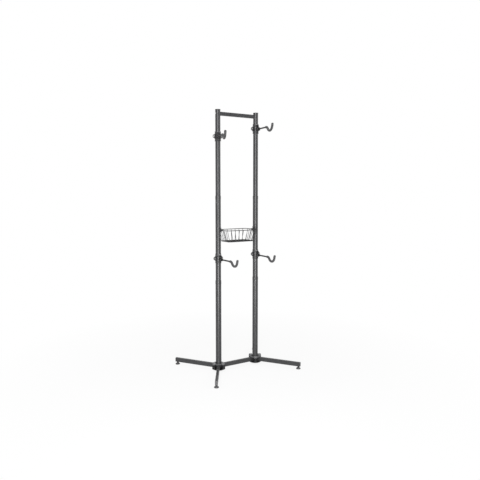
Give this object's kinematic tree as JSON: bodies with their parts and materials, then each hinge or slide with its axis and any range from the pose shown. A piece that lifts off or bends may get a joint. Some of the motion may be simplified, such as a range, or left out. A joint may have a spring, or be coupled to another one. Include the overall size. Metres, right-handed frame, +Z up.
{
  "type": "two tier bike rack",
  "caption": "Free-standing bike rack: telescoped posts on a legged base, clamped swivelling hook arms in tiers and a wire basket that lifts out.",
  "frame": {"origin": "on the floor, midway between the two posts, under the middle of the whole rack", "axes": "+Z up the posts, +X from the left post to the right post, -Y the way the arms reach"},
  "size_m": [0.8326, 0.7002, 2.134],
  "materials": {
    "black_steel": "satin",
    "cast_black": "satin",
    "black_plastic": "matte",
    "grey_rubber": "matte",
    "zinc_steel": "satin",
    "wire": "gloss"
  },
  "bodies": {
    "frame": {"base_crossbar": "black_steel", "hub_left_lower": "cast_black", "hub_left_upper": "cast_black", "post_left_lower": "black_steel", "post_left_middle": "black_steel", "post_left_upper": "black_steel", "post_cap_left": "black_plastic", "hub_right_lower": "cast_black", "hub_right_upper": "cast_black", "post_right_lower": "black_steel", "post_right_middle": "black_steel", "post_right_upper": "black_steel", "post_cap_right": "black_plastic", "leg_left_rear": "black_steel", "leg_cap_left_rear": "black_plastic", "leg_left_front": "black_steel", "leg_cap_left_front": "black_plastic", "leg_right_front": "black_steel", "leg_cap_right_front": "black_plastic", "leg_right_rear": "black_steel", "leg_cap_right_rear": "black_plastic", "top_crossbar": "black_steel"},
    "foot_left_rear": {"levelling_foot_left_rear": "black_plastic"},
    "foot_left_front": {"levelling_foot_left_front": "black_plastic"},
    "foot_right_front": {"levelling_foot_right_front": "black_plastic"},
    "foot_right_rear": {"levelling_foot_right_rear": "black_plastic"},
    "bush_lower_left": {"liner_bush_lower_left": "black_plastic"},
    "arm_lower_left": {"clamp_front_lower_left": "cast_black", "clamp_rear_lower_left": "cast_black", "clamp_bolt_a_lower_left": "zinc_steel", "clamp_bolt_b_lower_left": "zinc_steel", "lock_screw_lower_left": "zinc_steel", "arm_rod_lower_left": "black_steel", "hook_sleeve_lower_left": "grey_rubber"},
    "bush_lower_right": {"liner_bush_lower_right": "black_plastic"},
    "arm_lower_right": {"clamp_front_lower_right": "cast_black", "clamp_rear_lower_right": "cast_black", "clamp_bolt_a_lower_right": "zinc_steel", "clamp_bolt_b_lower_right": "zinc_steel", "lock_screw_lower_right": "zinc_steel", "arm_rod_lower_right": "black_steel", "hook_sleeve_lower_right": "grey_rubber"},
    "bush_upper_left": {"liner_bush_upper_left": "black_plastic"},
    "arm_upper_left": {"clamp_front_upper_left": "cast_black", "clamp_rear_upper_left": "cast_black", "clamp_bolt_a_upper_left": "zinc_steel", "clamp_bolt_b_upper_left": "zinc_steel", "lock_screw_upper_left": "zinc_steel", "arm_rod_upper_left": "black_steel", "hook_sleeve_upper_left": "grey_rubber"},
    "bush_upper_right": {"liner_bush_upper_right": "black_plastic"},
    "arm_upper_right": {"clamp_front_upper_right": "cast_black", "clamp_rear_upper_right": "cast_black", "clamp_bolt_a_upper_right": "zinc_steel", "clamp_bolt_b_upper_right": "zinc_steel", "lock_screw_upper_right": "zinc_steel", "arm_rod_upper_right": "black_steel", "hook_sleeve_upper_right": "grey_rubber"},
    "basket": {"wire_basket": "wire"}
  },
  "joints": [
    {"name": "foot_left_rear_screw", "type": "hinge", "parent": "frame", "child": "foot_left_rear", "pos_m": [-0.3973, 0.33, 0.02], "axis": [0, 0, 1], "continuous": true},
    {"name": "foot_left_front_screw", "type": "hinge", "parent": "frame", "child": "foot_left_front", "pos_m": [-0.3973, -0.33, 0.02], "axis": [0, 0, 1], "continuous": true},
    {"name": "foot_right_front_screw", "type": "hinge", "parent": "frame", "child": "foot_right_front", "pos_m": [0.3973, -0.33, 0.02], "axis": [0, 0, 1], "continuous": true},
    {"name": "foot_right_rear_screw", "type": "hinge", "parent": "frame", "child": "foot_right_rear", "pos_m": [0.3973, 0.33, 0.02], "axis": [0, 0, 1], "continuous": true},
    {"name": "arm_lower_left_height", "type": "slide", "parent": "frame", "child": "bush_lower_left", "axis": [0, 0, 1], "range_m": [-0.102, 0.09]},
    {"name": "arm_lower_left_swivel", "type": "hinge", "parent": "bush_lower_left", "child": "arm_lower_left", "pos_m": [-0.183, 0, 0.932], "axis": [0, 0, 1], "range_deg": [-90, 30]},
    {"name": "arm_lower_right_height", "type": "slide", "parent": "frame", "child": "bush_lower_right", "axis": [0, 0, 1], "range_m": [-0.116, 0.076]},
    {"name": "arm_lower_right_swivel", "type": "hinge", "parent": "bush_lower_right", "child": "arm_lower_right", "pos_m": [0.183, 0, 0.946], "axis": [0, 0, 1], "range_deg": [-28, 92]},
    {"name": "arm_upper_left_height", "type": "slide", "parent": "frame", "child": "bush_upper_left", "axis": [0, 0, 1], "range_m": [-0.415, 0.115]},
    {"name": "arm_upper_left_swivel", "type": "hinge", "parent": "bush_upper_left", "child": "arm_upper_left", "pos_m": [-0.183, 0, 1.915], "axis": [0, 0, 1], "range_deg": [-70.5, 49.5]},
    {"name": "arm_upper_right_height", "type": "slide", "parent": "frame", "child": "bush_upper_right", "axis": [0, 0, 1], "range_m": [-0.496, 0.034]},
    {"name": "arm_upper_right_swivel", "type": "hinge", "parent": "bush_upper_right", "child": "arm_upper_right", "pos_m": [0.183, 0, 1.996], "axis": [0, 0, 1], "range_deg": [-22.5, 97.5]},
    {"name": "basket_lift", "type": "slide", "parent": "frame", "child": "basket", "axis": [0, 0, 1], "range_m": [0, 0.025]}
  ]
}
